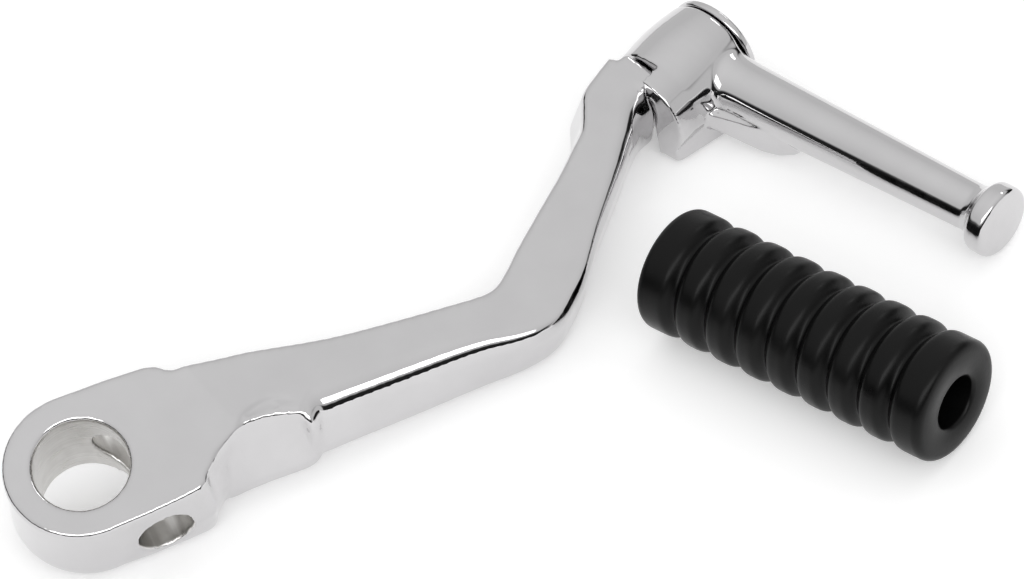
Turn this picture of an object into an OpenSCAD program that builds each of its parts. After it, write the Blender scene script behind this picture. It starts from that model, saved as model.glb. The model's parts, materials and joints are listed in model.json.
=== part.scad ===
// Kick start lever with a folding pedal and its slip-on rubber.
// The metal pieces are drawn in the lever's own axes: the origin is on the shaft bore's axis
// at the hub's face, Z is the shaft's axis and X runs towards the pedal's pivot.
// laid_down() then turns the lever the way it lies on a bench, about the middle of the shaft
// bore: on the hub's lower edge, the barrel's outer end and the rim of the knob. The rubber
// lies on the same bench.

/* [Hub] */
// Diameter of the shaft bore
bore_d = 16; // [14:0.5:17]
// Chamfer at both ends of the shaft bore
bore_chamfer = 0.4; // [0.2:0.1:0.8]
// Outer radius of the hub
hub_r = 13; // [12.5:0.5:14]
// Thickness of the hub along the shaft
hub_t = 18; // [17:0.5:22]
// Rounding of the hub's lower edge
hub_round = 4; // [2:0.5:5]
// Diameter of the cotter hole that crosses the shaft bore
cotter_d = 9.5; // [8:0.5:10]
// Distance from the shaft's axis to the cotter hole's axis
cotter_offset = 9; // [8.5:0.25:9.5]
// Depth of the cotter hole's axis below the hub's face
cotter_depth = 9; // [8:0.5:10]
// Angle of the cotter hole from the X axis
cotter_angle = 74; // [70:1:78]

/* [Arm] */
// Distance along X from the shaft to the line where the arm drops away from the hub's face
drop_x = 23.8; // [22.8:0.2:25]
// Angle at which the arm drops away from the hub's face
arm_drop = 8; // [5:0.5:10]
// Thickness of the arm
arm_t = 12; // [11:0.5:13]
// Width of the arm at its bend
arm_w = 12; // [11:0.5:13.5]
// Rounding of the arm's lower edges
arm_round = 2.6; // [1.5:0.1:3.2]
// Distance along the arm from the drop line to its bend
bend_x = 53; // [49:1:57]
// Distance along the arm from the drop line to the pedal's barrel
pivot_x = 99.3; // [95:0.5:105]
// Diameter of the cutter that relieves the stop lump
relief_d = 15.4; // [14:0.2:16]

/* [Pivot] */
// Diameter of the pivot pin inside the pedal's barrel
pin_d = 8; // [7:0.5:9]
// Diameter of the pin's thinner end, held in the arm
spigot_d = 5; // [4:0.25:5]
// Radial clearance of the pedal on its pin
pin_gap = 0.05; // [0.02:0.01:0.1]
// Depth of the pivot's axis below the arm's face
pivot_depth = 7; // [6.5:0.25:7.5]
// Angle between the pivot's axis and the arm's X direction
pivot_turn = 9.2; // [7:0.2:11]
// Diameter of the pin's domed head
head_d = 17.5; // [16:0.25:17.75]
// Thickness of the pin's head at its rim
head_t = 1.4; // [1.2:0.1:2]
// Gap between the head and the end of the barrel
head_gap = 0.4; // [0.2:0.1:0.6]
// Diameter of the detent ball
ball_d = 4; // [3:0.5:4]

/* [Pedal] */
// Outer diameter of the pedal's barrel
barrel_d = 18; // [18:0.5:19]
// Swell of the barrel's wall at its middle
barrel_swell = 0.5; // [0:0.1:0.8]
// Length of the pedal's barrel
barrel_len = 14.4; // [14:0.2:18]
// Length of the pedal's claw beyond the end of the barrel
claw_len = 4.1; // [3:0.1:4.5]
// Angle by which the folded peg stands above the arm's face
fold_lift = 14.5; // [12:0.5:16]
// Distance from the pivot's axis to the outer face of the knob
peg_len = 66; // [62:0.5:72]
// Diameter of the peg where it leaves the barrel
peg_root_d = 10.4; // [10:0.1:11]
// Diameter of the peg behind the knob
peg_neck_d = 8.4; // [7.8:0.1:9]
// Diameter of the knob
knob_d = 12.8; // [12:0.2:15]
// Thickness of the knob
knob_t = 4.2; // [3.5:0.1:5]
// Angle through which the pedal swings out
swing = 104; // [90:1:104]

/* [Rubber] */
// Outer diameter of the rubber
rubber_d = 21.4; // [19:0.2:24]
// Diameter of the hole through the rubber
rubber_hole_d = 9.4; // [8.4:0.2:11]
// Length of the rubber
rubber_len = 58; // [52:1:60]
// Number of grooves round the rubber
groove_count = 8; // [6:1:10]
// Depth of each groove
groove_depth = 1.5; // [1:0.1:2]
// Distance of the rubber's middle from the shaft along X
rubber_x = 102.8; // [102:0.2:107]
// Distance of the rubber's middle from the shaft across X
rubber_y = 64.9; // [63:0.1:75]
// Angle of the rubber's axis from the X axis
rubber_turn = -79; // [-84:1:-74]

/* [Hidden] */

eps = 0.01;
round_fn = 96;
small_fn = 48;

// Turning a point about one axis
function turn_x(v, a) = [v.x, v.y * cos(a) - v.z * sin(a), v.y * sin(a) + v.z * cos(a)];
function turn_y(v, a) = [v.x * cos(a) + v.z * sin(a), v.y, v.z * cos(a) - v.x * sin(a)];
function turn_z(v, a) = [v.x * cos(a) - v.y * sin(a), v.x * sin(a) + v.y * cos(a), v.z];
function unit(v) = v / norm(v);
function flat3(p, z) = [p.x, p.y, z];

// The arm's axes start on the drop line, with Z square to the arm's flat face. The pivot's
// axes start at the outer end of the barrel, with X along the pin. The pedal's axes are the
// pivot's, turned so that the folded peg runs along -Y.
arm_origin = [drop_x, -5.2, 0];
pivot_face = [pivot_x, 4.2, -pivot_depth];
pivot_end = pivot_face + turn_z([barrel_len, 0, 0], pivot_turn);
function from_arm(v) = arm_origin + turn_y(v, arm_drop);
function from_pivot(v) = from_arm(pivot_end + turn_z(v, pivot_turn));
function from_pedal(v) = from_pivot(turn_x(v, -fold_lift));

module in_arm() {
  translate(arm_origin)
    rotate([0, arm_drop, 0])
      children();
}

module in_pivot() {
  in_arm()
    translate(pivot_end)
      rotate([0, 0, pivot_turn])
        children();
}

module in_pedal() {
  in_pivot()
    rotate([-fold_lift, 0, 0])
      children();
}

// A round piece about the pivot's axis, from a profile of [radius, place along the axis]
module about_pivot() {
  rotate([0, 90, 0])
    rotate([0, 0, 90])
      children();
}

// The lay of the lever on a bench. The lowest points are the hub's rounded lower edge, the
// lug or the outer end of the barrel, and the knob's rim. They depend on the bench's normal,
// so the normal is found by going round a few times.
knob_round = 1;
peg_x = -2.8;
lug_bottom = -8.3;
lug_out = 7.6;
knob_middle = [peg_x + 0.4, -(peg_len - knob_t / 2), 0];
peg_dir = from_pedal([0, -1, 0]) - from_pedal([0, 0, 0]);
pivot_dir = from_pivot([1, 0, 0]) - from_pivot([0, 0, 0]);
function across(v, d) = unit(v - d * (v * d));
function hub_low(n) =
  [0, 0, hub_round - hub_t] - (hub_r - hub_round) * across(n, [0, 0, 1]) - hub_round * n;
function knob_low(n) =
  from_pedal([knob_middle.x, -peg_len + knob_round, 0])
  - (knob_d / 2 - knob_round) * across(n, peg_dir) - knob_round * n;
function rim_low(n, x, r) = from_pivot([x, 0, 0]) - r * across(n, pivot_dir);
function feet(n) = [
  from_pedal([-barrel_len - claw_len, -lug_out, lug_bottom]),
  rim_low(n, 0, barrel_d / 2),
  rim_low(n, head_gap + head_t, head_d / 2)
];
function lowest(f, n) =
  let (h = [for (p = f) p * n])
  [for (i = [0 : len(f) - 1]) if (h[i] == min(h)) f[i]][0];
function up_way(v) = v.z > 0 ? v : -v;
function bench_normal(n, k) =
  let (a = hub_low(n), b = lowest(feet(n), n), c = knob_low(n))
  k == 0 ? n : bench_normal(unit(up_way(cross(b - a, c - a))), k - 1);
bench_z = bench_normal([0, -0.2, 0.98], 12);
bench_x = across(from_pivot([0, 0, 0]), bench_z);
bench_y = cross(bench_z, bench_x);
bore_middle = [0, 0, -hub_t / 2];
bench_level = (hub_low(bench_z) - bore_middle) * bench_z;

module laid_down() {
  multmatrix([
    [bench_x.x, bench_x.y, bench_x.z, 0],
    [bench_y.x, bench_y.y, bench_y.z, 0],
    [bench_z.x, bench_z.y, bench_z.z, 0],
    [0, 0, 0, 1]
  ])
    translate(-bore_middle)
      children();
}

// A smooth curve through the rows of a table, with a few steps between rows
function curve_at(a, b, c, d, t) =
  0.5 * (2 * b + (c - a) * t + (2 * a - 5 * b + 4 * c - d) * t * t
    + (3 * b - a - 3 * c + d) * t * t * t);
function smooth_rows(t, steps) = [
  for (i = [0 : len(t) - 2])
    for (j = [0 : steps - 1])
      curve_at(t[max(i - 1, 0)], t[i], t[i + 1], t[min(i + 2, len(t) - 1)], j / steps),
  t[len(t) - 1]
];

// A solid skin over a row of rings that all have the same number of points, closed at both
// ends. The rings may run either way round.
function total(v, i = 0) = i == len(v) - 1 ? v[i] : v[i] + total(v, i + 1);
function middle(r) = total(r) / len(r);
function ring_turn(r) = total([for (j = [0 : len(r) - 1]) cross(r[j], r[(j + 1) % len(r)])]);
function face(f, flip) = flip ? [f[2], f[1], f[0]] : f;

module skin(rings, low_cap = undef, high_cap = undef) {
  n = len(rings[0]);
  m = len(rings);
  flip = ring_turn(rings[0]) * (middle(rings[1]) - middle(rings[0])) > 0;
  points = concat([for (r = rings) for (p = r) p], [
    is_undef(low_cap) ? middle(rings[0]) : low_cap,
    is_undef(high_cap) ? middle(rings[m - 1]) : high_cap
  ]);
  sides = [
    for (i = [0 : m - 2])
      for (j = [0 : n - 1])
        for (f = [
          [i * n + j, i * n + (j + 1) % n, (i + 1) * n + (j + 1) % n],
          [i * n + j, (i + 1) * n + (j + 1) % n, (i + 1) * n + j]
        ]) face(f, flip)
  ];
  caps = [
    for (j = [0 : n - 1])
      for (f = [
        [m * n, (j + 1) % n, j],
        [m * n + 1, (m - 1) * n + j, (m - 1) * n + (j + 1) % n]
      ]) face(f, flip)
  ];
  polyhedron(points = points, faces = concat(sides, caps), convexity = 6);
}

function arc_points(c, r, a0, a1, n) = [
  for (i = [0 : n])
    let (a = a0 + (a1 - a0) * i / n)
    c + r * [cos(a), sin(a)]
];

// Arm. Each row of the plan is the far edge of the flat face, its near edge and the near
// wall, then how deep the near edge is rounded and how far the face and the lower side lie
// below the arm's face plane.
plan_bend = 53;
plan_pivot = 99.3;
plan_width = 12;
plan_depth = 12;
shoulder_row = [-6, 9.8, -6, -5.5, -6, -8, 3, 1.1, 12];
arm_rows = [
  [0, 7.9, 0, -5.2, 0, -6, 3, 0, 12],
  [5.5, 5.5, 6, -6.6, 6, -7.4, 3, 0, 12],
  [8.5, 4.3, 9.4, -9.2, 9.2, -10.4, 3, 0, 12],
  [11.2, 3.1, 11.9, -10.9, 11.3, -14.4, 3, 0, 12],
  [22.1, -2.3, 19, -12.6, 18.2, -16.1, 3, 0, 12],
  [33.5, -6.6, 31, -15.3, 30.2, -18.7, 3, 0, 12],
  [42, -9.5, 41.5, -18.1, 40.8, -20.9, 2.8, 0, 11.8],
  [47.6, -11.3, 49, -20.3, 48.5, -22.6, 2.6, 0, 11.6],
  [50.8, -11.5, 54.6, -21.3, 54.8, -22.8, 2.4, 0, 11.5],
  [54.3, -10.1, 59, -19.7, 59.8, -20.9, 2.4, 0, 11.6],
  [60, -7.1, 64.2, -17, 64.9, -18, 2.4, 0, 11.8],
  [67, -3.5, 71, -11.8, 71.8, -13, 2.6, 0, 12],
  [73.2, -0.3, 77.5, -6.8, 78.8, -8.6, 2.8, 0, 12],
  [78.1, 2.6, 82, -3.3, 83.6, -5.6, 3.2, 0, 12.2],
  [81.6, 4.8, 85, -1, 86.9, -3.4, 3.8, 0, 12.6],
  [84.3, 8, 87.4, 0.8, 89.5, -1.9, 4.6, 0, 13],
  [86.5, 10.2, 89.9, 3.3, 91.7, -0.7, 5.4, 0, 13.4],
  [90, 11.1, 92.4, 5.3, 93.6, -0.2, 6.2, 0, 13.8],
  [93.8, 11.6, 94.7, 5.8, 95.7, 0.1, 7, 0, 14],
  [95.1, 11.9, 98.2, 6.4, 99, 0.7, 7, 0, 14]
];
function stretch(x) =
  x < plan_bend ? x * bend_x / plan_bend
    : bend_x + (x - plan_bend) * (pivot_x - bend_x) / (plan_pivot - plan_bend);
function plan_point(r, k) = [stretch(r[k]), r[k + 1]];
function widened(r, k) =
  plan_point(r, 0) + (plan_point(r, k) - plan_point(r, 0)) * arm_w / plan_width;
edge_steps = 5;
far_out = 0.8;
far_deep = 1.2;
function arm_ring(r) =
  let (
    far = plan_point(r, 0),
    near = widened(r, 2),
    wall = widened(r, 4),
    way = unit(near - far),
    far_wall = far - way * far_out,
    top = -r[7],
    deep = r[6],
    low = -r[8] * arm_t / plan_depth
  )
  [
    for (i = [0 : edge_steps])
      let (a = 90 * i / edge_steps)
      flat3(near + (wall - near) * sin(a), top - deep * (1 - cos(a))),
    for (i = [0 : edge_steps])
      let (a = 90 * i / edge_steps)
      flat3(wall - way * arm_round * (1 - cos(a)), low + arm_round * (1 - sin(a))),
    for (i = [0 : edge_steps])
      let (a = 90 * i / edge_steps)
      flat3(far_wall + way * arm_round * (1 - sin(a)), low + arm_round * (1 - cos(a))),
    for (i = [0 : 2])
      let (a = 45 * i)
      flat3(far_wall + way * far_out * (1 - cos(a)), top - far_deep * (1 - sin(a)))
  ];

module arm_bar() {
  in_arm()
    skin([
      for (r = concat([shoulder_row], smooth_rows(arm_rows, 3)))
        arm_ring(r)
    ]);
}

// Hub with the boss that holds the cotter and the shoulder on the far side. Each row of the
// plan is a point of the outline, how far the wall bulges at the parting plane and how far
// the lower side rises. The edges are rounded towards the hub's middle line.
hub_top_round = 0.6;
low_bulge = 0.7;
drop_shift = drop_x - 23.8;
hub_plan = concat(
  [for (p = arc_points([0, 0], hub_r, 72, 260, 36)) [p.x, p.y, 0, 0]],
  [
    [2.5, -14.1, 0.5, 0], [8.4, -15.5, 0.9, 0], [12.2, -16.2, 1.3, 0], [13.7, -15.8, 1.7, 0],
    [14.8, -14.6, 2, 0.5], [17, -13.6, 2, 1], [20.1 + drop_shift, -12.2, 1.6, 2],
    [23.8 + drop_shift, -11.2, 0.2, 4.5], [23.8 + drop_shift, 2.9, 0.2, 4.5],
    [22.3 + drop_shift, 3.5, 0.3, 4], [21.1 + drop_shift, 4.8, 0.3, 3],
    [20.2 + drop_shift, 6.3, 0.3, 2.5], [18.6 + drop_shift, 7.3, 0.4, 2], [12, 9.8, 0.3, 0.5]
  ]
);
function spine(p) = [min(max(p.x, 0), 16), min(max(p.x, 0), 16) * -0.2];
function outwards(p) = unit([p.x, p.y] - spine(p));
function hub_ring(out, z, up, bulge) = [
  for (p = hub_plan)
    let (q = [p.x, p.y] + outwards(p) * (out + bulge * p[2]))
    flat3(q, z + up * p[3])
];

module hub() {
  lower = [
    for (i = [0 : 5])
      let (a = 18 * i)
      hub_ring(-hub_round * (1 - sin(a)), hub_round * (1 - cos(a)) - hub_t, 1, low_bulge)
  ];
  upper = [
    for (i = [0 : 3])
      let (a = 30 * i)
      hub_ring(-hub_top_round * (1 - cos(a)), -hub_top_round * (1 - sin(a)), 0, 0)
  ];
  skin(
    concat(lower, [hub_ring(0, -cotter_depth, 0, 1)], upper),
    [0, 0, -hub_t],
    [0, 0, 0]
  );
}

// Stop lump on the near side. Its front face leans back from the lower edge to the arm's
// flat face. Each step is a height and how far the outline has moved from the lower to the
// upper one. A round relief with a scooped floor is cut into the lump from above.
lump_low = [
  [19.5, -8], [17.9, -15.1], [21, -15.7], [25, -16.8], [28.8, -18.1], [31.5, -19],
  [33, -19.1], [34.8, -18.5], [35.8, -17.2], [36, -10]
];
lump_high = [
  [20.5, -6], [19.3, -12.1], [21.9, -11.2], [24.9, -10.6], [28, -11.3], [30.8, -12.7],
  [33, -14.2], [34.8, -15.9], [35.4, -16.6], [35.5, -8]
];
lump_steps = [[-15, 0.16], [-14.6, 0.03], [-13.6, -0.08], [-12, 0], [-1.2, 1]];
relief_at = [28, -17.05];
scoop_r = 8.4;
scoop_way = 54;
scoop_deep = 4.8;
scoop_rise = 20;

module stop_lump() {
  skin([
    for (l = lump_steps) [
      for (i = [0 : len(lump_low) - 1])
        let (q = lump_low[i] + (lump_high[i] - lump_low[i]) * l[1])
        flat3([q.x + drop_shift, q.y], l[0] - max(0, q.x - 23.8) * l[1] * tan(arm_drop))
    ]
  ]);
}

module relief_cut() {
  translate([relief_at.x + drop_shift, relief_at.y, 0])
    intersection() {
      translate([0, 0, -9])
        cylinder(d = relief_d, h = 12, $fn = round_fn);
      rotate([0, 0, scoop_way - 90])
        translate([0, relief_d / 2, -scoop_deep])
          rotate([90 - scoop_rise, 0, 0])
            translate([0, scoop_r, 0])
              cylinder(r = scoop_r, h = 3 * relief_d, center = true, $fn = round_fn);
    }
}

// Claw. Beyond the arm's end only the claw's sector stands; the pedal's own claw turns in
// the space that is left.
claw_from = -15;
claw_to = 78;
claw_room = 0.1;
arm_claw_end = -barrel_len - claw_room;
arm_face = -barrel_len - claw_len - claw_room;
core_r = spigot_d / 2 + 0.4;
core_deep = 0.4;
spigot_len = 9;

module claw_space() {
  rotate([0, 90, 0])
    rotate([0, 0, 90 + claw_to])
      translate([0, 0, arm_face])
        rotate_extrude(angle = 360 + claw_from - claw_to, $fn = round_fn)
          square([24, 12]);
  translate([arm_face - core_deep, 0, 0])
    rotate([0, 90, 0])
      cylinder(r = core_r, h = 12, $fn = small_fn);
  translate([arm_claw_end, -20, -20])
    cube([10, 40, 40]);
}

ball_out = 6;
ball_angle = 28;
ball_hole_depth = 8.5;
ball_stands_out = 0.35;
ball_at = arm_claw_end + ball_stands_out - ball_d / 2;

module at_ball(a) {
  rotate([a, 0, 0])
    translate([0, ball_out, 0])
      children();
}

module cotter_bore() {
  translate([cotter_offset * sin(cotter_angle), -cotter_offset * cos(cotter_angle), -cotter_depth])
    rotate([90, 0, cotter_angle + 90])
      cylinder(d = cotter_d, h = 60, center = true, $fn = round_fn);
}

module shaft_bore() {
  translate([0, 0, -hub_t - eps])
    cylinder(d = bore_d, h = hub_t + 2 * eps, $fn = round_fn);
  for (side = [0, 1])
    translate([0, 0, -side * hub_t])
      mirror([0, 0, side])
        translate([0, 0, -bore_chamfer])
          cylinder(d1 = bore_d, d2 = bore_d + 2 * bore_chamfer + 2 * eps, h = bore_chamfer + eps,
            $fn = round_fn);
}

module lever_arm() {
  color("gainsboro")
    laid_down()
      difference() {
        union() {
          hub();
          arm_bar();
          stop_lump();
        }
        relief_cut();
        shaft_bore();
        cotter_bore();
        in_pivot() {
          claw_space();
          translate([arm_face - spigot_len - 0.5, 0, 0])
            rotate([0, 90, 0])
              cylinder(d = spigot_d, h = spigot_len + 1, $fn = small_fn);
          at_ball(ball_angle)
            translate([arm_claw_end - ball_hole_depth, 0, 0])
              rotate([0, 90, 0])
                cylinder(d = ball_d + 0.1, h = ball_hole_depth + 1, $fn = small_fn);
        }
      }
}

// Pivot pin: the shank turns in the barrel, the thinner end is held in the arm and the
// domed head closes the outer end of the barrel
head_dome = 0.9;
shank_end = 1.5 - barrel_len;

module pivot_pin() {
  color("silver")
    laid_down()
      in_pivot()
        about_pivot()
          rotate_extrude($fn = round_fn)
            polygon(concat(
              [[0, arm_face - spigot_len], [spigot_d / 2 - 0.4, arm_face - spigot_len]],
              [[spigot_d / 2, arm_face - spigot_len + 0.4], [spigot_d / 2, shank_end]],
              [[pin_d / 2, shank_end], [pin_d / 2, head_gap], [head_d / 2 - 0.3, head_gap]],
              [[head_d / 2, head_gap + 0.3], [head_d / 2, head_gap + head_t - 0.4]],
              [[head_d / 2 - 0.4, head_gap + head_t]],
              [
                for (i = [1 : 5])
                  let (r = (head_d / 2 - 0.4) * (1 - i / 5))
                  [r, head_gap + head_t + head_dome * (1 - pow(2 * r / head_d, 2))]
              ]
            ));
}

module detent_ball() {
  color("silver")
    laid_down()
      in_pivot()
        at_ball(ball_angle)
          translate([ball_at, 0, 0])
            rotate([0, 90, 0])
              sphere(d = ball_d, $fn = small_fn);
}

// Detent spring: a coil between the ball and the bottom of its hole
spring_wire = 0.5;
spring_d = ball_d - 0.9;
spring_from = arm_claw_end - ball_hole_depth + spring_wire / 2;
spring_to = ball_at - sqrt(pow(ball_d / 2 + spring_wire / 2, 2) - pow(spring_d / 2, 2)) - 0.02;
spring_turns = 4;
coil_steps = 20;
wire_sides = 8;
function coil_ring(i) =
  let (
    a = 360 * i / coil_steps,
    x = spring_from + (spring_to - spring_from) * i / (spring_turns * coil_steps)
  )
  [
    for (j = [0 : wire_sides - 1])
      let (
        b = -360 * j / wire_sides,
        r = spring_d / 2 + spring_wire / 2 * cos(b)
      )
      [x + spring_wire / 2 * sin(b), r * cos(a), r * sin(a)]
  ];

module detent_spring() {
  color("silver")
    laid_down()
      in_pivot()
        at_ball(ball_angle)
          skin([for (i = [0 : spring_turns * coil_steps]) coil_ring(i)]);
}

// Pedal: barrel, claw and lug, peg with a web below it, and knob, all one casting.
// Sections of the peg run along -Y; each row is [distance, middle along X, radius].
neck_y = peg_len - knob_t - 2.2;
peg_rows = [
  [3, peg_x - 1.6, peg_root_d / 2 + 0.9],
  [8, peg_x - 1.6, peg_root_d / 2 + 0.5],
  [9.5, peg_x - 1.6, peg_root_d / 2 + 0.2],
  [12, peg_x - 1.5, peg_root_d / 2],
  [neck_y, knob_middle.x, peg_neck_d / 2],
  [neck_y + 1.4, knob_middle.x, peg_neck_d / 2 + 0.5],
  [neck_y + 2.4, knob_middle.x, peg_neck_d / 2 + 1.6]
];
function round_ring(r, n) = [
  for (j = [0 : n - 1])
    let (a = 360 * j / n)
    [r[1] + r[2] * cos(a), -r[0], r[2] * sin(a)]
];
claw_top_in = 1.3;
claw_in = 2.9;
lug_end = -7.6;
lug_skew = 2.1;
lug_rows = [
  [-barrel_len - claw_len, 0.4, 0], [-barrel_len - claw_len + 0.4, 0.1, 0],
  [-barrel_len - claw_len + 1, 0, 0.1], [lug_end - 0.8, 0, lug_skew], [lug_end, 0.6, lug_skew]
];
web_rows = [
  [7, -12.5, -4.5, -5], [8.6, -12, -4.5, -5], [11, -11.2, -4.3, -5.4], [15, -10.2, -4, -6.4],
  [18.5, -9.4, -3.9, -7.1], [21.5, -8.8, -3.7, -6.7], [24.5, -8.2, -3.6, -5.1],
  [26, -7.8, -3.6, -3.6], [27.4, -7, -3.6, -2.2]
];
// Each row of the lug is a place along X, how far its corner is drawn in, and how far its
// outer side stands out towards the peg
function lug_ring(r) = [
  for (p = [
    [-claw_in, 3], [-claw_in, -4], [-claw_in - 0.3, lug_bottom + r[1]],
    [-lug_out - r[2] + 0.3 + r[1], lug_bottom + r[1]],
    [-lug_out - r[2] - 0.2 + r[1], lug_bottom + 0.5 + r[1]],
    [-7.2 - r[2] * 0.8 + r[1], -3.4], [-6.6 - r[2] * 0.5 + r[1] / 2, -2.8], [-5.9, 2.3],
    [-5.6, 3]
  ])
    [r[0], p.x, p.y]
];
function web_ring(r) = [
  [r[1], -r[0], -0.6], [r[1], -r[0], r[3] + 0.9], [r[1] + 0.7, -r[0], r[3]],
  [r[2], -r[0], r[3]], [r[2], -r[0], -0.6]
];

module pedal_solid() {
  about_pivot()
    rotate_extrude($fn = round_fn)
      polygon(concat(
        [[0, -barrel_len], [barrel_d / 2 - 0.4, -barrel_len]],
        [
          for (i = [0 : 8])
            [barrel_d / 2 + barrel_swell * sin(22.5 * i), 0.4 - barrel_len + (barrel_len - 0.8) * i / 8]
        ],
        [[barrel_d / 2 - 0.4, 0], [0, 0]]
      ));
  intersection() {
    translate([-barrel_len - claw_len, 0, 0])
      rotate([0, 90, 0])
        cylinder(d = barrel_d, h = claw_len + 1, $fn = round_fn);
    translate([-barrel_len - claw_len, 0, 0])
      rotate([90, 0, 90])
        linear_extrude(claw_len + 1)
          polygon([
            [-claw_top_in, 12], [-claw_top_in, barrel_d / 2], [-claw_in, 2], [-claw_in, -3],
            [-claw_in - 0.3, -12], [-12, -12], [-12, 12]
          ]);
  }
  skin([for (r = lug_rows) lug_ring(r)]);
  skin([for (r = web_rows) web_ring(r)]);
  skin([for (r = peg_rows) round_ring(r, round_fn / 2)]);
  translate([knob_middle.x, 0, 0])
    rotate([90, 0, 0])
      rotate_extrude($fn = round_fn)
        polygon(concat(
          [[0, peg_len - knob_t - 1], [peg_neck_d / 2 + 0.5, peg_len - knob_t]],
          arc_points([knob_d / 2 - knob_round, peg_len - knob_t + knob_round], knob_round, -90, 0, 4),
          arc_points([knob_d / 2 - knob_round, peg_len - knob_round - 0.3], knob_round, 0, 90, 4),
          [[knob_d / 4, peg_len - 0.1], [0, peg_len]]
        ));
}

track_deep = 0.5;
pocket_deep = 1;

module pedal() {
  color("gainsboro")
    laid_down()
      in_pedal()
        difference() {
          pedal_solid();
          rotate([0, 90, 0])
            translate([0, 0, -barrel_len - claw_len - 1])
              cylinder(r = spigot_d / 2 + pin_gap, h = 40, $fn = small_fn);
          translate([shank_end - 0.1, 0, 0])
            rotate([0, 90, 0])
              cylinder(r = pin_d / 2 + pin_gap, h = 40, $fn = small_fn);
          rotate([0, 90, 0])
            cylinder(r = barrel_d / 2 + 0.3, h = 20, $fn = round_fn);
          rotate([fold_lift, 0, 0])
            track();
        }
}

// Track of the detent ball in the end face of the barrel, with a pocket at each end
module track() {
  groove_r = ball_d / 2 + 0.15;
  groove_in = -barrel_len + track_deep - groove_r;
  rotate([0, 90, 0])
    rotate([0, 0, 90 + ball_angle - swing])
      translate([0, 0, groove_in])
        rotate_extrude(angle = swing, $fn = round_fn)
          translate([ball_out, 0])
            circle(r = groove_r, $fn = small_fn);
  for (a = [ball_angle, ball_angle - swing])
    at_ball(a)
      translate([-barrel_len + pocket_deep - groove_r, 0, 0])
        sphere(r = groove_r, $fn = small_fn);
}

// Rubber: rounded ribs between the grooves and a wider collar at each end
collar_len = 7.2;
collar_round = 1.6;
rib_pitch = (rubber_len - 2 * collar_len) / (groove_count - 1);
groove_half = 1.3;
function rib_r(s) =
  let (
    t = (s - collar_len) / rib_pitch,
    k = min(max(round(t), 0), groove_count - 1),
    d = abs(s - collar_len - k * rib_pitch) / groove_half
  )
  rubber_d / 2 - groove_depth * exp(-d * d * 1.4);
rib_steps = 90;
rubber_points = [
  for (i = [0 : rib_steps])
    let (s = rubber_len * i / rib_steps, e = min(s, rubber_len - s))
    [
      rib_r(s) - (e < collar_round ? collar_round - sqrt(e * (2 * collar_round - e)) : 0),
      s
    ]
];

module pedal_rubber() {
  color("dimgray")
    translate([rubber_x, -rubber_y, bench_level + rubber_d / 2])
      rotate([0, 90, rubber_turn])
        translate([0, 0, -rubber_len / 2])
          difference() {
            rotate_extrude($fn = 64)
              polygon(concat([[0, 0]], rubber_points, [[0, rubber_len]]));
            translate([0, 0, -1])
              cylinder(d = rubber_hole_d, h = rubber_len + 2, $fn = 64);
          }
}

lever_arm();
pivot_pin();
detent_ball();
detent_spring();
pedal();
pedal_rubber();
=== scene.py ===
import json
import math

import bmesh
import bpy
import numpy as np
from mathutils import Matrix, Vector


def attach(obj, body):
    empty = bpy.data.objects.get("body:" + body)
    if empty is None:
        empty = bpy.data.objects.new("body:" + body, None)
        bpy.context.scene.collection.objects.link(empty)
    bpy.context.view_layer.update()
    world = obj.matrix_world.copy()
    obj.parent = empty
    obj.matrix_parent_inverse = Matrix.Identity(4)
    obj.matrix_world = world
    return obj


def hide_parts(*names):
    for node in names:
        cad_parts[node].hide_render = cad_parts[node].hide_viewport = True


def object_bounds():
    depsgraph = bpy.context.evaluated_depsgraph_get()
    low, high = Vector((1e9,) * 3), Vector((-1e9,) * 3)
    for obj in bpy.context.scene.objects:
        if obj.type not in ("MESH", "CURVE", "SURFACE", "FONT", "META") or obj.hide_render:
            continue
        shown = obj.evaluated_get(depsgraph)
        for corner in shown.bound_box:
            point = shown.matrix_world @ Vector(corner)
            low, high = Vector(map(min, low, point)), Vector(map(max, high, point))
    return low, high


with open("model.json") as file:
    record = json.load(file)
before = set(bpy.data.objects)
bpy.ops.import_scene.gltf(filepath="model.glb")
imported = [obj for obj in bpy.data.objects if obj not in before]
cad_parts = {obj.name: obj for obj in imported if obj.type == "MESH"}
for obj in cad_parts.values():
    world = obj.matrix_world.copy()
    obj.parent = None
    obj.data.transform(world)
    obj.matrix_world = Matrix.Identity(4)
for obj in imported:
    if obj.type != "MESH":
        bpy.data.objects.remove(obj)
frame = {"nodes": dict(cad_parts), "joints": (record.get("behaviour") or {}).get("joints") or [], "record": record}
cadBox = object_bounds()
mm = 0.001
print("frame loaded:", sorted(frame["nodes"]))

# The camera looks down at the lever lying on the bench, through a long lens.
camera = {
    "place": (-0.29422, -0.63295, 0.78424),
    "lookAt": (0.08084, -0.01163, -0.01142),
    "roll": -12.973,
    "lens": 225.0,
    "sensorWidth": 36.0,
    "nearest": 0.01,
}


def link(name, data):
    thing = bpy.data.objects.new(name, data)
    bpy.context.scene.collection.objects.link(thing)
    return thing


def turned(degrees, axis):
    return Matrix.Rotation(math.radians(degrees), 4, axis)


def makeCamera():
    data = bpy.data.cameras.new("camera")
    data.lens = camera["lens"]
    data.sensor_width = camera["sensorWidth"]
    data.clip_start = camera["nearest"]
    place = Vector(camera["place"])
    level = (Vector(camera["lookAt"]) - place).to_track_quat("-Z", "Y").to_matrix().to_4x4()
    thing = link("camera", data)
    thing.matrix_world = Matrix.Translation(place) @ level @ turned(camera["roll"], "Z")
    bpy.context.scene.camera = thing


makeCamera()

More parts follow.
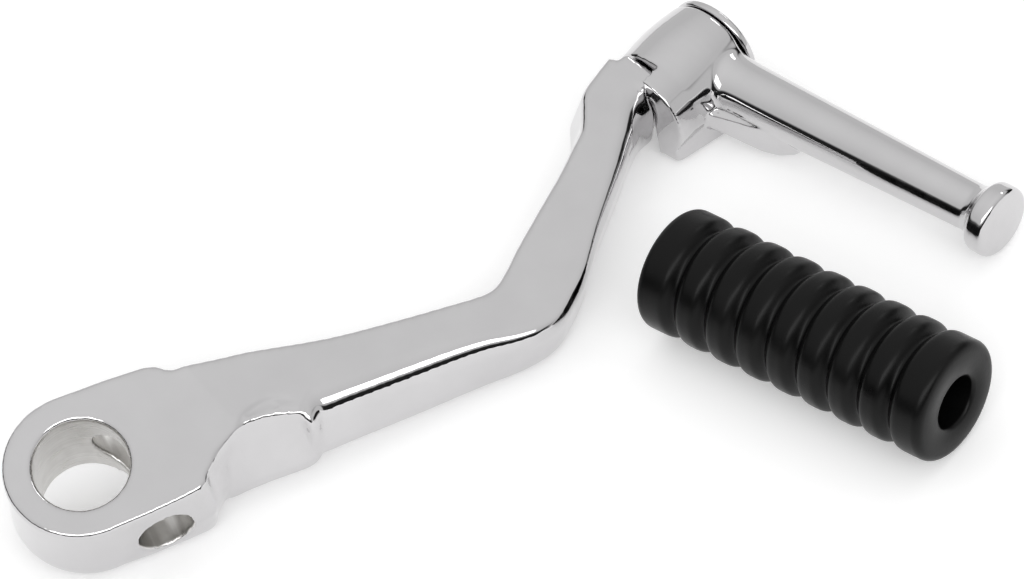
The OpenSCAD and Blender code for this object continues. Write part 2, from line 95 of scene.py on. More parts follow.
# Axes. The lever's own axes start on the shaft bore at the hub's face, with Z along the
# shaft. The arm's flat face drops away from the hub's. The claws' axes lie on the pivot,
# level with the arm, and the pedal's are tipped up from those.
axes = {
    "hubThickness": 18.0,
    "pivotBearing": 0.552,
    "armStart": (23.8, -5.2, 0.0),
    "armDrop": 8.0,
    "pivotTurn": 9.2,
    "foldLift": 14.5,
}
mounts = {m["name"]: m for m in frame["record"]["mounts"]}
pivotAt = Vector(frame["joints"][0]["pos_m"])


def leverAxes():
    up = Vector(mounts["shaft_bore"]["axis"]).normalized()
    towards = (pivotAt - up * pivotAt.dot(up)).normalized()
    towards = Matrix.Rotation(math.radians(-axes["pivotBearing"]), 3, up) @ towards
    turn = Matrix((towards, up.cross(towards), up)).transposed().to_4x4()
    return turn @ Matrix.Translation((0, 0, axes["hubThickness"] / 2 * mm))


lever = leverAxes()
arm = lever @ Matrix.Translation(Vector(axes["armStart"]) * mm) @ turned(axes["armDrop"], "Y")
claws = (Matrix.Translation(pivotAt) @ arm.to_3x3().to_4x4()
         @ turned(axes["pivotTurn"], "Z"))
pedal = claws @ turned(-axes["foldLift"], "X")


def linearColour(code):
    parts = [int(code[i:i + 2], 16) / 255 for i in (1, 3, 5)]
    linear = [c / 12.92 if c <= 0.04045 else ((c + 0.055) / 1.055) ** 2.4 for c in parts]
    return (*linear, 1.0)


def addNode(tree, kind, inputs=None, **settings):
    node = tree.nodes.new(kind)
    for name, value in settings.items():
        setattr(node, name, value)
    for name, value in (inputs or {}).items():
        if isinstance(value, bpy.types.NodeSocket):
            tree.links.new(value, node.inputs[name])
        else:
            node.inputs[name].default_value = value
    return node


def newMaterial(name):
    material = bpy.data.materials.new(name)
    material.use_nodes = True
    tree = material.node_tree
    return material, tree, tree.nodes["Principled BSDF"]


def mottle(tree, shader, pattern, finish):
    # the pattern's usual range, 0.3 to 0.7, takes the finish from its first colour and
    # roughness to its second
    usual = {"Value": pattern, "From Min": 0.3, "From Max": 0.7}
    share = addNode(tree, "ShaderNodeMapRange", usual)
    first, second = (linearColour(code) for code in finish["colours"])
    mix = addNode(tree, "ShaderNodeMix", {0: share.outputs[0], 6: first, 7: second},
                  data_type="RGBA")
    low, high = finish["roughness"]
    rough = addNode(tree, "ShaderNodeMapRange", {**usual, "To Min": low, "To Max": high})
    tree.links.new(mix.outputs[2], shader.inputs["Base Color"])
    tree.links.new(rough.outputs[0], shader.inputs["Roughness"])


# Decorative chrome plate over a forging polished on a soft wheel: a mirror with a faint
# ripple, hazed in patches, with fine pits where the casting skin was left.
chrome = {
    "colours": ("#CDCCCD", "#C9C8C9"),
    "roughness": (0.035, 0.07),
    "hazeSize": 9.0,
    "rippleSize": 7.0,
    "rippleDepth": 0.006,
    "skinSize": 0.7,
    "skinDepth": 0.0012,
}


def makeChrome():
    material, tree, shader = newMaterial("polished_chrome_plate")
    place = addNode(tree, "ShaderNodeTexCoord").outputs["Object"]
    haze = addNode(tree, "ShaderNodeTexNoise",
                   {"Vector": place, "Scale": 1 / (chrome["hazeSize"] * mm), "Detail": 3.0})
    mottle(tree, shader, haze.outputs["Fac"], chrome)
    ripple = addNode(tree, "ShaderNodeTexNoise",
                     {"Vector": place, "Scale": 1 / (chrome["rippleSize"] * mm), "Detail": 1.0})
    skin = addNode(tree, "ShaderNodeTexNoise",
                   {"Vector": place, "Scale": 1 / (chrome["skinSize"] * mm), "Detail": 2.0})
    wave = addNode(tree, "ShaderNodeBump",
                   {"Height": ripple.outputs["Fac"], "Distance": chrome["rippleDepth"] * mm})
    fine = addNode(tree, "ShaderNodeBump",
                   {"Height": skin.outputs["Fac"], "Distance": chrome["skinDepth"] * mm,
                    "Normal": wave.outputs[0]})
    tree.links.new(fine.outputs[0], shader.inputs["Normal"])
    shader.inputs["Metallic"].default_value = 1.0
    return material


# Steel as the drill and reamer left it: grey, satin, with rings round the hole.
boredSteel = {
    "colours": ("#CCCAC7", "#E9E8E6"),
    "roughness": (0.24, 0.40),
    "ringSize": 0.45,
    "ringDepth": 0.006,
    "blotchSize": 3.0,
}


def makeBoredSteel():
    material, tree, shader = newMaterial("bored_steel")
    place = addNode(tree, "ShaderNodeTexCoord").outputs["Object"]
    # the rings lie square to the shaft, whose axis is the lever's Z
    turnBack = lever.to_3x3().inverted().to_euler()
    along = addNode(tree, "ShaderNodeMapping", {"Vector": place, "Rotation": turnBack})
    split = addNode(tree, "ShaderNodeSeparateXYZ", {"Vector": along.outputs[0]})
    rings = addNode(tree, "ShaderNodeTexNoise",
                    {"W": split.outputs["Z"], "Scale": 1 / (boredSteel["ringSize"] * mm),
                     "Detail": 3.0}, noise_dimensions="1D")
    blotch = addNode(tree, "ShaderNodeTexNoise",
                     {"Vector": place, "Scale": 1 / (boredSteel["blotchSize"] * mm),
                      "Detail": 3.0})
    both = addNode(tree, "ShaderNodeMath",
                   {0: rings.outputs["Fac"], 1: blotch.outputs["Fac"]}, operation="ADD")
    half = addNode(tree, "ShaderNodeMath", {0: both.outputs[0], 1: 0.5}, operation="MULTIPLY")
    mottle(tree, shader, half.outputs[0], boredSteel)
    bump = addNode(tree, "ShaderNodeBump",
                   {"Height": rings.outputs["Fac"], "Distance": boredSteel["ringDepth"] * mm})
    tree.links.new(bump.outputs[0], shader.inputs["Normal"])
    shader.inputs["Metallic"].default_value = 1.0
    return material


# Moulded black rubber: satin and a touch uneven, with the faint bloom that rubber gets.
rubberFinish = {
    "colours": ("#050505", "#0B0B0B"),
    "roughness": (0.27, 0.40),
    "specular": 0.17,
    "patchSize": 8.0,
    "grainSize": 0.5,
    "grainDepth": 0.012,
}


def makeRubber():
    material, tree, shader = newMaterial("moulded_black_rubber")
    place = addNode(tree, "ShaderNodeTexCoord").outputs["Object"]
    patch = addNode(tree, "ShaderNodeTexNoise",
                    {"Vector": place, "Scale": 1 / (rubberFinish["patchSize"] * mm),
                     "Detail": 4.0})
    mottle(tree, shader, patch.outputs["Fac"], rubberFinish)
    skin = addNode(tree, "ShaderNodeTexNoise",
                   {"Vector": place, "Scale": 1 / (rubberFinish["grainSize"] * mm),
                    "Detail": 3.0})
    bump = addNode(tree, "ShaderNodeBump",
                   {"Height": skin.outputs["Fac"], "Distance": rubberFinish["grainDepth"] * mm})
    tree.links.new(bump.outputs[0], shader.inputs["Normal"])
    shader.inputs["Specular IOR Level"].default_value = rubberFinish["specular"]
    return material


chromePlate = makeChrome()
steelWall = makeBoredSteel()
blackRubber = makeRubber()
print("materials made")


def inAxes(points, place):
    # where the points lie in these axes, in millimetres
    back = np.array(place.inverted())
    return (points @ back[:3, :3].T + back[:3, 3]) / mm


def eased(share):
    return share * share * (3 - 2 * share)


def ringSolid(shell, rings):
    # adds a closed solid through rings of points
    rows = [[shell.verts.new(p) for p in ring] for ring in rings]
    count = len(rings[0])
    faces = [rows[0][::-1], rows[-1]]
    for low, high in zip(rows, rows[1:]):
        for k in range(count):
            after = (k + 1) % count
            faces.append((low[k], low[after], high[after], high[k]))
    bmesh.ops.recalc_face_normals(shell, faces=[shell.faces.new(f) for f in faces])


# The stop lump's top, in the lever's axes: the plan of its lower and upper edges, and steps of
# a height and how far the plan has gone from the lower edge to the upper. It is filled up to
# the arm's face, which drops away past dropX. A shallow crescent is sunk into that: a round
# step at the back, from which the floor climbs to the face.
lump = {
    "low": [(19.5, -8), (17.9, -15.1), (21, -15.7), (25, -16.8), (28.8, -18.1), (31.5, -19),
            (33, -19.1), (34.8, -18.5), (35.8, -17.2), (36, -10)],
    "high": [(20.5, -6), (19.2, -12.75), (21.9, -11.8), (25, -11.25), (28.2, -12.15),
             (30.6, -13.5), (32.4, -14.8), (34.1, -16.1), (35.6, -16.3), (36.2, -9)],
    "steps": [(-11.5, 0.05), (-1.2, 0.9), (-0.02, 1.0)],
    "dropX": 23.8,
    "crescentAt": (28, -17.05),
    "crescentRadius": 7.7,
    "crescentWidth": 2.8,
    "crescentDepth": 0.3,
    "crescentStep": 0.9,
    "crescentHalfAngle": 66.0,
    "crescentLowest": -3.5,
}


def lumpRings():
    drop = math.tan(math.radians(axes["armDrop"]))
    rings = []
    for height, share in lump["steps"]:
        ring = []
        for low, high in zip(lump["low"], lump["high"]):
            x, y = (low[k] + (high[k] - low[k]) * share for k in (0, 1))
            fall = max(0, x - lump["dropX"]) * share * drop
            ring.append(lever @ (Vector((x, y, height - fall)) * mm))
        rings.append(ring)
    return rings


def sinkCrescent(points):
    local = inAxes(points, lever)
    away = local[:, :2] - np.array(lump["crescentAt"])
    reach = np.linalg.norm(away, axis=1)
    turn = np.degrees(np.abs(np.arctan2(away[:, 0], away[:, 1]))) / lump["crescentHalfAngle"]
    inwards = lump["crescentRadius"] - reach
    width = lump["crescentWidth"] * np.clip(1 - turn ** 2, 0.001, 1)  # it divides, so never 0
    step = np.clip(inwards / lump["crescentStep"], 0, 1)
    depth = np.clip(1 - inwards / width, 0, 1) * step * lump["crescentDepth"]
    inside = (inwards > 0) & (local[:, 2] > lump["crescentLowest"]) & (turn < 1)
    points[inside] -= (depth[inside] * mm)[:, None] * np.array(lever.to_3x3().col[2])


# The arm's claw is filled up to the folded pedal's claw. The section lies in the claws' axes,
# between two places along the pivot. The far corner beside it is filled out by a plan in the
# arm's axes, between two heights.
claw = {
    "from": -18.45,
    "to": -14.5,
    "section": [(0.8, 2.9), (1.8, 6.98), (0.1, 6.98), (-1.9, 3.1)],
    "cornerPlan": [(92, 5), (92, 10.6), (97.2, 11.2), (97.9, 10.5), (98.75, 6.5), (98.95, 5)],
    "cornerHeights": (-7, -0.03),
}


def clawRings():
    return [[claws @ (Vector((x, y, z)) * mm) for y, z in claw["section"]]
            for x in (claw["from"], claw["to"])]


def cornerRings():
    return [[arm @ (Vector((x, y, z)) * mm) for x, y in claw["cornerPlan"]]
            for z in claw["cornerHeights"]]


# The arm's walls lean: each wall's edge of the flat face is drawn in, one way across the face,
# and the lean dies out inwards over its fade and downwards over the depth. The rows are a
# place along the arm, where the edge lies across it, and how far the edge is drawn in.
leans = {
    "depth": 12.0,
    "near": {
        "side": -1,
        "way": (0.25, 0.97),
        "fade": 6.5,
        "rows": [(-20, -5, 0), (10.2, -9.7, 0), (12.2, -11, 3.7), (19, -12.6, 3.3),
                 (26.4, -14.3, 3.0), (34.2, -16.2, 2.6), (38, -17.2, 2.3), (42, -18.2, 1.8),
                 (46, -19.4, 0.9), (50, -20.5, 0.2), (54, -21.2, 0), (140, -21.2, 0)],
    },
    "far": {
        "side": 1,
        "way": (0.62, -0.78),
        "fade": 4.0,
        "rows": [(-20, 0, 0), (58, -8.3, 0), (67, -3.5, 0.5), (73.2, -0.3, 0.9),
                 (78.1, 2.6, 1.2), (81.6, 4.8, 1.5), (84.3, 8, 1.6), (86.5, 10.2, 1.5),
                 (90, 11.1, 1.0), (94, 11.6, 0.2), (96, 11.9, 0), (140, 11.9, 0)],
    },
}


def leanWalls(points):
    # in the arm's axes the flat face is the plane Z = 0
    local = inAxes(points, arm)
    height = np.clip(1 + local[:, 2] / leans["depth"], 0, 1)
    for wall in (leans["near"], leans["far"]):
        along, edge, drawn = (np.array(column) for column in zip(*wall["rows"]))
        outside = wall["side"] * (local[:, 1] - np.interp(local[:, 0], along, edge))
        near = eased(np.clip(1 + outside / wall["fade"], 0, 1))
        shift = np.interp(local[:, 0], along, drawn) * near * height
        way = np.array(arm.to_3x3() @ Vector(wall["way"] + (0,)))
        points += (shift * mm)[:, None] * way


# Forged pieces. The solid is laid over with a fine even mesh and relaxed, which rounds its
# edges as polishing does; then its flat faces and bores are set true again. The last three
# are the least cosines of a normal with a flat face's, and with a bore's wall's, for a point
# to count as on it, and then to be moved onto it.
forging = {
    "mergeWithin": 1e-6,
    "pull": 0.5,
    "onFlat": 0.997,
    "onWall": 0.5,
    "movedToWall": 0.97,
}


def fineMesh(node, cell, fillers=()):
    source = frame["nodes"][node].data.copy()
    shell = bmesh.new()
    shell.from_mesh(source)
    bmesh.ops.remove_doubles(shell, verts=shell.verts, dist=forging["mergeWithin"])
    for rings in fillers:
        ringSolid(shell, rings)
    shell.to_mesh(source)
    shell.free()
    source.materials.clear()
    rough = link(node + "_rough", source)
    remesh = rough.modifiers.new("remesh", "REMESH")
    remesh.mode = "VOXEL"
    remesh.voxel_size = cell * mm
    ready = rough.evaluated_get(bpy.context.evaluated_depsgraph_get())
    result = bpy.data.meshes.new_from_object(ready)
    bpy.data.objects.remove(rough)
    return result


def meshArrays(mesh):
    points = np.zeros(len(mesh.vertices) * 3)
    mesh.vertices.foreach_get("co", points)
    edges = np.zeros(len(mesh.edges) * 2, int)
    mesh.edges.foreach_get("vertices", edges)
    return points.reshape(-1, 3), edges.reshape(-1, 2)


def relax(points, edges, weight, rounds):
    # each round moves a point by its weight's share towards the middle of its neighbours
    count = len(points)
    degree = np.bincount(edges.ravel(), minlength=count)
    for _ in range(rounds):
        for k in range(3):
            total = np.bincount(edges[:, 0], points[edges[:, 1], k], count)
            total += np.bincount(edges[:, 1], points[edges[:, 0], k], count)
            points[:, k] += weight * (total / degree - points[:, k])


def nearness(points, centre, radius):
    away = np.linalg.norm(points - np.array(centre), axis=1)
    return eased(np.clip(1 - away / (radius * mm), 0, 1))


def forgedMesh(node, spec, spotAxes, fillers=(), bend=None):
    mesh = fineMesh(node, spec["cell"], fillers)
    points, edges = meshArrays(mesh)
    if bend:
        bend(points)
    relax(points, edges, forging["pull"], spec["rounds"])
    for place, radius, rounds in spec["spots"]:
        centre = spotAxes @ (Vector(place) * mm)
        relax(points, edges, forging["pull"] * nearness(points, centre, radius), rounds)
    print(node, "relaxed:", len(points), "points")
    return mesh, points


def normalsOf(mesh, points):
    mesh.vertices.foreach_set("co", points.ravel())
    mesh.update()
    normals = np.zeros(len(points) * 3)
    mesh.vertices.foreach_get("normal", normals)
    return normals.reshape(-1, 3)


def flatten(points, normals, faceAxes, near):
    # points that almost lie on the plane Z = 0 of these axes are set on it
    up = np.array(faceAxes.to_3x3().col[2])
    height = (points - np.array(faceAxes.translation)) @ up
    chosen = (np.abs(height) < near * mm) & (normals @ up > forging["onFlat"])
    points[chosen] -= height[chosen, None] * up


def trueBore(points, normals, mount, slack, ends):
    # points on a bore's wall are set at its radius; says which they are
    centre = np.array(mount["pos_m"])
    axis = np.array(Vector(mount["axis"]).normalized())
    radius = mount["dims"]["r_mm"] * mm
    away = points - centre
    along = away @ axis
    away = away - along[:, None] * axis
    reach = np.linalg.norm(away, axis=1)
    inwards = -np.einsum("ij,ij->i", normals, away) / np.maximum(reach, 1e-9)
    wall = (np.abs(reach - radius) < slack * mm) & (inwards > forging["onWall"])
    wall &= np.abs(along) < (mount["dims"]["length_mm"] / 2 + ends) * mm
    moved = wall & (inwards > forging["movedToWall"])
    points[moved] += away[moved] * ((radius - reach[moved]) / reach[moved])[:, None]
    return wall


def setSmooth(mesh, sharpDegrees=None):
    mesh.polygons.foreach_set("use_smooth", np.ones(len(mesh.polygons), bool))
    if sharpDegrees:
        mesh.set_sharp_from_angle(angle=math.radians(sharpDegrees))
    mesh.update()


def finishPiece(name, mesh, points, materials, steelPoints=None):
    # faces whose points are all steel ones get the second material
    mesh.vertices.foreach_set("co", points.ravel())
    mesh.materials.clear()
    for material in materials:
        mesh.materials.append(material)
    if steelPoints is not None:
        corners = np.zeros(len(mesh.loops), int)
        mesh.loops.foreach_get("vertex_index", corners)
        starts = np.zeros(len(mesh.polygons), int)
        mesh.polygons.foreach_get("loop_start", starts)
        steelFaces = np.minimum.reduceat(steelPoints[corners].astype(int), starts)
        mesh.polygons.foreach_set("material_index", steelFaces)
    setSmooth(mesh)
    return link(name, mesh)


# The lever arm. Each softened spot is a place in the lever's axes, a radius and a number of
# rounds that fill a corner of the forging. The bores' slack is how far off its radius a wall
# may lie, and the ends how far past its length.
leverArm = {
    "cell": 0.37,
    "rounds": 6,
    "spots": [((17.3, -15.4, -10), 5.5, 60), ((35.6, -14.6, -4), 4, 40),
              ((19.2, -12.4, -2), 3.6, 40)],
    "nearFlat": 0.16,
    "boreSlack": 0.35,
    "shaftEnds": 0.2,
    "cotterEnds": 1.0,
}


def makeArm():
    mesh, points = forgedMesh("lever_arm", leverArm, lever,
                              (lumpRings(), clawRings(), cornerRings()), leanWalls)
    normals = normalsOf(mesh, points)
    for faceAxes in (lever, arm):
        flatten(points, normals, faceAxes, leverArm["nearFlat"])
    sinkCrescent(points)
    slack = leverArm["boreSlack"]
    steel = trueBore(points, normals, mounts["shaft_bore"], slack, leverArm["shaftEnds"])
    steel |= trueBore(points, normals, mounts["cotter_bore"], slack, leverArm["cotterEnds"])
    piece = finishPiece("forged_arm", mesh, points, [chromePlate, steelWall], steel)
    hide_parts("lever_arm")
    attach(piece, "arm")


# The folding pedal, with its softened spots in its own axes.
foldingPedal = {
    "cell": 0.235,
    "rounds": 6,
    "spots": [((-4.4, -9, 1), 8, 90), ((-9.5, -7.5, 4), 6, 60), ((1, -8, 4), 5, 40)],
}


def makePedal():
    mesh, points = forgedMesh("pedal", foldingPedal, pedal)
    piece = finishPiece("forged_pedal", mesh, points, [chromePlate])
    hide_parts("pedal")
    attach(piece, "folding_pedal")


makeArm()
makePedal()
print("forgings made")

# The rubber is a turned form. Nodes work its ribs out from the groove count, close the
# outline with the wall of its hole and sweep it round the axis.
rubber = {
    "Outer radius": 10.7,
    "Length": 58.0,
    "Hole radius": 4.7,
    "Groove count": 8,
    "Groove depth": 1.5,
    "Groove half width": 1.3,
    "Collar length": 7.2,
    "Corner radius": 1.6,
    "Lip radius": 0.6,
    "Outer points": 400,
    "Hole points": 160,
    "Sides": 144,
}
grooveFall = -1.4  # the power of the groove's bell at its half width


def placeSums(name, step, count):
    # a point's place along the rubber from its step, and how far that is from an end
    return [
        (name + "Last", "SUBTRACT", count, 1.0),
        (name + "Share", "DIVIDE", step, name + "Last"),
        (name + "At", "MULTIPLY", name + "Share", "Length"),
        (name + "Left", "SUBTRACT", "Length", name + "At"),
        (name + "End", "MINIMUM", name + "At", name + "Left"),
    ]


def roundSums(name, distance, radius):
    # how far a round of this radius draws the wall in at a distance from the end
    return [
        (name + "Gap", "SUBTRACT", radius, distance),
        (name + "Short", "MAXIMUM", name + "Gap", 0.0),
        (name + "Whole", "MULTIPLY", radius, radius),
        (name + "Part", "MULTIPLY", name + "Short", name + "Short"),
        (name + "Rest", "SUBTRACT", name + "Whole", name + "Part"),
        (name + "Safe", "MAXIMUM", name + "Rest", 0.0),
        (name + "Root", "SQRT", name + "Safe", 0.0),
        (name, "SUBTRACT", radius, name + "Root"),
    ]


def choiceSums(name, outside, inside):
    # one value on the outer wall and another in the hole
    return [
        (name + "Gap", "SUBTRACT", inside, outside),
        (name + "Jump", "MULTIPLY", "inHole", name + "Gap"),
        (name, "ADD", outside, name + "Jump"),
    ]


def outlineSums():
    # each row is a name, an operation and the two values it works on
    return [
        *placeSums("outer", "index", "Outer points"),
        ("holeStep", "SUBTRACT", "index", "Outer points"),
        *placeSums("hole", "holeStep", "Hole points"),
        # the nearest groove, and how far off it the point is
        ("pitches", "SUBTRACT", "Groove count", 1.0),
        ("collars", "MULTIPLY", "Collar length", 2.0),
        ("ribbed", "SUBTRACT", "Length", "collars"),
        ("pitch", "DIVIDE", "ribbed", "pitches"),
        ("pastCollar", "SUBTRACT", "outerAt", "Collar length"),
        ("count", "DIVIDE", "pastCollar", "pitch"),
        ("rounded", "ROUND", "count", 0.0),
        ("notBefore", "MAXIMUM", "rounded", 0.0),
        ("nearest", "MINIMUM", "notBefore", "pitches"),
        ("astray", "SUBTRACT", "count", "nearest"),
        ("off", "MULTIPLY", "astray", "pitch"),
        ("offShare", "DIVIDE", "off", "Groove half width"),
        ("offSquare", "MULTIPLY", "offShare", "offShare"),
        ("power", "MULTIPLY", "offSquare", grooveFall),
        ("bell", "EXPONENT", "power", 0.0),
        ("groove", "MULTIPLY", "bell", "Groove depth"),
        *roundSums("corner", "outerEnd", "Corner radius"),
        ("cut", "ADD", "groove", "corner"),
        ("outerRadius", "SUBTRACT", "Outer radius", "cut"),
        *roundSums("lip", "holeEnd", "Lip radius"),
        ("holeRadius", "ADD", "Hole radius", "lip"),
        ("lastOuter", "SUBTRACT", "Outer points", 0.5),
        ("inHole", "GREATER_THAN", "index", "lastOuter"),
        ("holeBack", "SUBTRACT", "Length", "holeAt"),
        *choiceSums("radius", "outerRadius", "holeRadius"),
        *choiceSums("height", "outerAt", "holeBack"),
        ("half", "MULTIPLY", "Length", 0.5),
        ("middle", "SUBTRACT", "height", "half"),
        ("pastRing", "SUBTRACT", "radius", "Hole radius"),
        ("points", "ADD", "Outer points", "Hole points"),
    ]


def rubberTree():
    tree = bpy.data.node_groups.new("ribbed_rubber", "GeometryNodeTree")
    face = tree.interface
    face.new_socket("Geometry", in_out="INPUT", socket_type="NodeSocketGeometry")
    for label, value in rubber.items():
        kind = "NodeSocketInt" if isinstance(value, int) else "NodeSocketFloat"
        face.new_socket(label, in_out="INPUT", socket_type=kind)
    face.new_socket("Material", in_out="INPUT", socket_type="NodeSocketMaterial")
    face.new_socket("Geometry", in_out="OUTPUT", socket_type="NodeSocketGeometry")
    given = addNode(tree, "NodeGroupInput").outputs
    known = {label: given[label] for label in rubber}
    known["index"] = addNode(tree, "GeometryNodeInputIndex").outputs[0]
    for name, operation, first, second in outlineSums():
        values = {0: known.get(first, first), 1: known.get(second, second)}
        known[name] = addNode(tree, "ShaderNodeMath", values, operation=operation).outputs[0]
    place = addNode(tree, "ShaderNodeCombineXYZ", {"X": known["pastRing"], "Y": known["middle"]})
    row = addNode(tree, "GeometryNodeMeshLine", {"Count": known["points"]})
    outline = addNode(tree, "GeometryNodeSetPosition",
                      {"Geometry": row.outputs[0], "Position": place.outputs[0]})
    line = addNode(tree, "GeometryNodeMeshToCurve", {"Mesh": outline.outputs[0]})
    closed = addNode(tree, "GeometryNodeSetSplineCyclic",
                     {"Geometry": line.outputs[0], "Cyclic": True})
    # the sweep adds this ring's own radius
    ring = addNode(tree, "GeometryNodeCurvePrimitiveCircle",
                   {"Resolution": given["Sides"], "Radius": given["Hole radius"]})
    swept = addNode(tree, "GeometryNodeCurveToMesh",
                    {"Curve": ring.outputs[0], "Profile Curve": closed.outputs[0]})
    real = addNode(tree, "GeometryNodeRealizeInstances", {"Geometry": swept.outputs[0]})
    painted = addNode(tree, "GeometryNodeSetMaterial",
                      {"Geometry": real.outputs[0], "Material": given["Material"]})
    addNode(tree, "NodeGroupOutput", {"Geometry": painted.outputs[0]})
    return tree


def outwardMesh(mesh):
    # merges doubled points and turns the faces outwards
    shell = bmesh.new()
    shell.from_mesh(mesh)
    bmesh.ops.remove_doubles(shell, verts=shell.verts, dist=1e-7)
    if shell.calc_volume(signed=True) < 0:
        bmesh.ops.reverse_faces(shell, faces=shell.faces)
    shell.to_mesh(mesh)
    shell.free()


def makeRubberPiece():
    tree = rubberTree()
    holder = link("rubber_holder", bpy.data.meshes.new("rubber_holder"))
    nodes = holder.modifiers.new("ribs", "NODES")
    nodes.node_group = tree
    for item in tree.interface.items_tree:
        if item.in_out == "INPUT" and item.name in rubber:
            # counts stay as they are, lengths become metres
            value = rubber[item.name]
            nodes[item.identifier] = value if isinstance(value, int) else value * mm
        elif item.in_out == "INPUT" and item.name == "Material":
            nodes[item.identifier] = blackRubber
    ready = holder.evaluated_get(bpy.context.evaluated_depsgraph_get())
    mesh = bpy.data.meshes.new_from_object(ready)
    bpy.data.objects.remove(holder)
    bore = mounts["rubber_bore"]
    turn = Vector(bore["axis"]).to_track_quat("Z", "Y").to_matrix().to_4x4()
    mesh.transform(Matrix.Translation(Vector(bore["pos_m"])) @ turn)
    outwardMesh(mesh)
    setSmooth(mesh, sharpDegrees=50)
    piece = link("ribbed_rubber", mesh)
    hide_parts("pedal_rubber")
    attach(piece, "arm")
    print("rubber made:", len(mesh.polygons), "faces")


makeRubberPiece()

# Pivot pin, turned from its outline of [radius, place along the pivot's axis]. Places are
# from the barrel's outer end. The domed head's rim is rounded.
pin = {
    "outline": [(0, -27.5), (2.1, -27.5), (2.5, -27.1), (2.5, -12.9), (4, -12.9), (4, 0.4)],
    "headRadius": 8.75,
    "headFrom": 0.4,
    "headThick": 1.4,
    "dome": 0.9,
    "rim": 0.45,
    "rimSteps": 6,
    "domeSteps": 40,
    "sides": 160,
}


def pinOutline():
    rows = list(pin["outline"])
    rim = pin["rim"]
    flat = pin["headRadius"] - rim
    top = pin["headFrom"] + pin["headThick"]
    for start, height in ((-90, pin["headFrom"] + rim), (0, top - rim)):
        for step in range(pin["rimSteps"] + 1):
            a = math.radians(start + 90 * step / pin["rimSteps"])
            rows.append((flat + rim * math.cos(a), height + rim * math.sin(a)))
    for step in range(1, pin["domeSteps"] + 1):
        share = 1 - step / pin["domeSteps"]
        rows.append((flat * share, top + pin["dome"] * (1 - share ** 2)))
    return rows


def turnedMesh(name, rows, sides, place):
    # spins an outline that starts and ends on the axis about X
    shell = bmesh.new()
    rings = []
    for radius, along in rows:
        ring = []
        for k in range(sides if radius > 0 else 1):
            a = 2 * math.pi * k / sides
            ring.append(shell.verts.new((along * mm, radius * mm * math.cos(a),
                                         radius * mm * math.sin(a))))
        rings.append(ring)
    for low, high in zip(rings, rings[1:]):
        for k in range(sides):
            a, b = k % len(low), (k + 1) % len(low)
            c, d = (k + 1) % len(high), k % len(high)
            corners = dict.fromkeys([low[a], low[b], high[c], high[d]])  # a pole comes up twice
            shell.faces.new(list(corners))
    mesh = bpy.data.meshes.new(name)
    shell.to_mesh(mesh)
    shell.free()
    mesh.transform(place)
    outwardMesh(mesh)
    return mesh


def makePin():
    mesh = turnedMesh("turned_pin", pinOutline(), pin["sides"], pedal)
    mesh.materials.append(chromePlate)
    setSmooth(mesh, sharpDegrees=35)
    piece = link("turned_pin", mesh)
    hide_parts("pivot_pin")
    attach(piece, "arm")


makePin()

# The detent's ball and spring keep their meshes and are bare steel.
for node in ("detent_ball", "detent_spring"):
    for slot in frame["nodes"][node].material_slots:
        slot.material = steelWall
print("pin and detent made")

# Floor, light and background: a white table in a softly lit studio whose far walls are dark,
# so that the plating shows its edges as dark lines. Heights in the room are sines of the
# angle above the table. Each gap in the dark wall is a bearing, and the cosines off it at
# which the gap starts and is fully open.
studio = {
    "floorSize": 6.0,
    "floorColour": "#F4F4F4",
    "floorRoughness": 0.9,
    "floorSpecular": 0.1,
    "floorGlow": 0.24,
    "ceiling": 0.93,
    "wall": 0.02,
    "wallTop": 0.42,
    "wallFade": 0.14,
    "gaps": [(55.0, 0.62, 0.85), (309.0, 0.84, 0.95)],
    "overhead": 0.18,
    "overheadFrom": 0.5,
    "frontLamp": {"bearing": 239.0, "lift": 43.0, "away": 1.5, "size": (1.9, 0.55),
                  "power": 9.0},
    "sideLamp": {"bearing": 10.0, "lift": 38.0, "away": 1.5, "size": (0.5, 0.2), "power": 0.8},
}


def makeFloor():
    low = cadBox[0][2]
    half = studio["floorSize"] / 2
    corners = [(-half, -half, low), (half, -half, low), (half, half, low), (-half, half, low)]
    mesh = bpy.data.meshes.new("floor")
    mesh.from_pydata(corners, [], [(0, 1, 2, 3)])
    material, tree, shader = newMaterial("matt_white_table")
    shader.inputs["Base Color"].default_value = linearColour(studio["floorColour"])
    shader.inputs["Roughness"].default_value = studio["floorRoughness"]
    shader.inputs["Specular IOR Level"].default_value = studio["floorSpecular"]
    # seen straight on or in the plating, the table glows a little, up to white
    path = addNode(tree, "ShaderNodeLightPath").outputs
    seen = addNode(tree, "ShaderNodeMath", {0: path["Is Camera Ray"], 1: path["Is Glossy Ray"]},
                   operation="MAXIMUM")
    glow = addNode(tree, "ShaderNodeMath", {0: seen.outputs[0], 1: studio["floorGlow"]},
                   operation="MULTIPLY")
    shine = addNode(tree, "ShaderNodeEmission",
                    {"Color": (1, 1, 1, 1), "Strength": glow.outputs[0]})
    both = addNode(tree, "ShaderNodeAddShader", {0: shader.outputs[0], 1: shine.outputs[0]})
    tree.links.new(both.outputs[0], tree.nodes["Material Output"].inputs["Surface"])
    mesh.materials.append(material)
    link("floor", mesh)


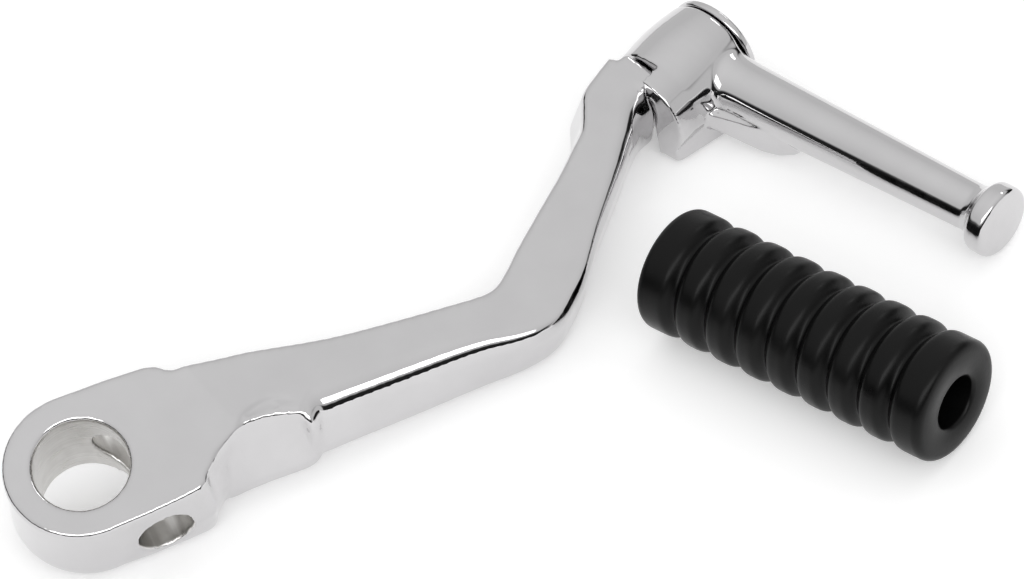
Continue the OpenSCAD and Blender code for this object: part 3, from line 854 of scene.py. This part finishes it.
def makeWorld():
    world = bpy.data.worlds.new("studio")
    bpy.context.scene.world = world
    world.use_nodes = True
    tree = world.node_tree
    tree.nodes.clear()
    place = addNode(tree, "ShaderNodeTexCoord").outputs["Generated"]
    height = addNode(tree, "ShaderNodeSeparateXYZ", {"Vector": place}).outputs["Z"]
    rise = addNode(tree, "ShaderNodeMapRange",
                   {"Value": height, "From Min": studio["wallTop"] - studio["wallFade"],
                    "From Max": studio["wallTop"],
                    "To Min": studio["wall"] + studio["overhead"], "To Max": studio["ceiling"]},
                   interpolation_type="SMOOTHSTEP")
    # the dark wall has gaps, where the room stays light down to the table
    light = rise.outputs[0]
    for turnedTo, gapFrom, gapTo in studio["gaps"]:
        bearing = math.radians(turnedTo)
        facing = addNode(tree, "ShaderNodeVectorMath",
                         {0: place, 1: (math.cos(bearing), math.sin(bearing), 0)},
                         operation="DOT_PRODUCT")
        gap = addNode(tree, "ShaderNodeMapRange",
                      {"Value": facing.outputs["Value"], "From Min": gapFrom,
                       "From Max": gapTo, "To Max": studio["ceiling"]},
                      interpolation_type="SMOOTHSTEP")
        light = addNode(tree, "ShaderNodeMath", {0: light, 1: gap.outputs[0]},
                        operation="MAXIMUM").outputs[0]
    # and it is brightest overhead
    drop = addNode(tree, "ShaderNodeMapRange",
                   {"Value": height, "From Min": studio["overheadFrom"], "From Max": 1.0,
                    "To Min": studio["overhead"], "To Max": 0.0})
    light = addNode(tree, "ShaderNodeMath", {0: light, 1: drop.outputs[0]},
                    operation="SUBTRACT").outputs[0]
    room = addNode(tree, "ShaderNodeBackground", {"Color": (1, 1, 1, 1), "Strength": light})
    white = addNode(tree, "ShaderNodeBackground", {"Color": (1, 1, 1, 1), "Strength": 1.0})
    path = addNode(tree, "ShaderNodeLightPath")
    mix = addNode(tree, "ShaderNodeMixShader",
                  {0: path.outputs["Is Camera Ray"], 1: room.outputs[0], 2: white.outputs[0]})
    addNode(tree, "ShaderNodeOutputWorld", {"Surface": mix.outputs[0]})


def makeLamp(name, spec):
    data = bpy.data.lights.new(name, "AREA")
    data.shape = "RECTANGLE"
    data.size, data.size_y = spec["size"]
    data.energy = spec["power"]
    bearing, lift = math.radians(spec["bearing"]), math.radians(spec["lift"])
    way = Vector((math.cos(lift) * math.cos(bearing), math.cos(lift) * math.sin(bearing),
                  math.sin(lift)))
    place = Vector(camera["lookAt"]) + way * spec["away"]
    turn = way.to_track_quat("Z", "Y").to_matrix().to_4x4()
    link(name, data).matrix_world = Matrix.Translation(place) @ turn


makeFloor()
makeWorld()
makeLamp("front_softbox", studio["frontLamp"])
makeLamp("side_softbox", studio["sideLamp"])
bpy.context.scene.view_settings.view_transform = "Standard"
print("stage made")
